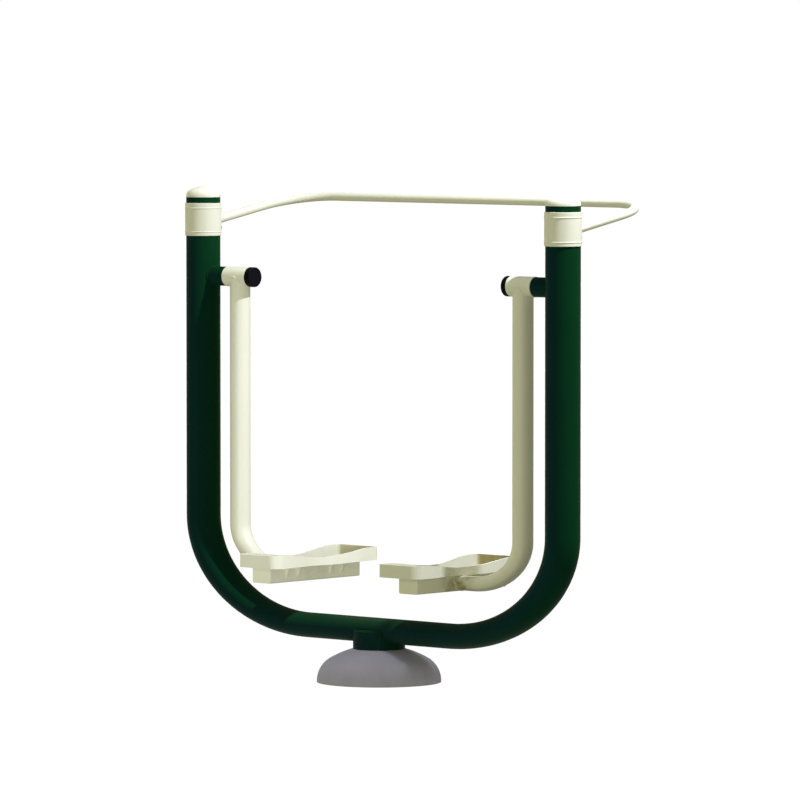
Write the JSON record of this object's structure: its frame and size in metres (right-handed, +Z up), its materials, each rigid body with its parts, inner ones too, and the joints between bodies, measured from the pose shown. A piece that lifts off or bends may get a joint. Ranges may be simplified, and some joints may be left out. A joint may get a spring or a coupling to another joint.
{
  "type": "outdoor air walker",
  "caption": "Outdoor fitness walker: a U-shaped tube frame on a domed foot, a curved handrail, and two foot trays that swing from the posts on bent legs.",
  "frame": {"origin": "on the ground at the centre of the anchor bolt circle", "axes": "+Z up; +X along the ground run from the left post to the right post; +Y the way the user faces, towards the handrail"},
  "size_m": [1.326, 0.562, 1.252],
  "materials": {
    "green_paint": "gloss",
    "cream_paint": "gloss",
    "tray_paint": "satin",
    "cream_plastic": "gloss",
    "black_plastic": "satin",
    "grey_plastic": "satin",
    "seal_rubber": "matte",
    "zinc_steel": "zinc plated",
    "bright_steel": "turned"
  },
  "bodies": {
    "frame": {"axle_nut_left": "zinc_steel", "axle_nut_right": "zinc_steel", "axle_washer_left": "zinc_steel", "axle_washer_right": "zinc_steel", "base_cover_front": "grey_plastic", "base_cover_rear": "grey_plastic", "base_flange": "green_paint", "base_gussets": "green_paint", "base_neck": "green_paint", "bearing_inner_rings_left": "bright_steel", "bearing_inner_rings_right": "bright_steel", "bearing_spacer_left": "bright_steel", "bearing_spacer_right": "bright_steel", "collar_screws_left": "zinc_steel", "collar_screws_right": "zinc_steel", "handrail": "cream_paint", "neck_ledges": "green_paint", "pivot_axle_left": "bright_steel", "pivot_axle_right": "bright_steel", "pivot_stub_left": "green_paint", "pivot_stub_right": "green_paint", "post_cap_left": "cream_plastic", "post_cap_right": "cream_plastic", "post_collar_left": "cream_paint", "post_collar_right": "cream_paint", "stop_key_left": "bright_steel", "stop_key_right": "bright_steel", "u_frame": "green_paint"},
    "left_leg": {"beam_end_plugs_left": "cream_plastic", "bearing_balls_left": "bright_steel", "bearing_outer_rings_left": "bright_steel", "dust_seal_left": "seal_rubber", "foot_tray_left": "tray_paint", "hub_left": "cream_paint", "hub_plug_left": "black_plastic", "leg_tube_left": "cream_paint", "pedal_beam_left": "cream_paint", "rivet_nuts_left": "zinc_steel", "stop_ring_left": "bright_steel", "tray_screws_left": "zinc_steel"},
    "right_leg": {"beam_end_plugs_right": "cream_plastic", "bearing_balls_right": "bright_steel", "bearing_outer_rings_right": "bright_steel", "dust_seal_right": "seal_rubber", "foot_tray_right": "tray_paint", "hub_plug_right": "black_plastic", "hub_right": "cream_paint", "leg_tube_right": "cream_paint", "pedal_beam_right": "cream_paint", "rivet_nuts_right": "zinc_steel", "stop_ring_right": "bright_steel", "tray_screws_right": "zinc_steel"}
  },
  "joints": [
    {"name": "left_leg_swing", "type": "hinge", "parent": "frame", "child": "left_leg", "pos_m": [-0.4865, 0, 1.02], "axis": [1, 0, 0], "range_deg": [-50, 50]},
    {"name": "right_leg_swing", "type": "hinge", "parent": "frame", "child": "right_leg", "pos_m": [0.4865, 0, 1.02], "axis": [1, 0, 0], "range_deg": [-50, 50]}
  ]
}
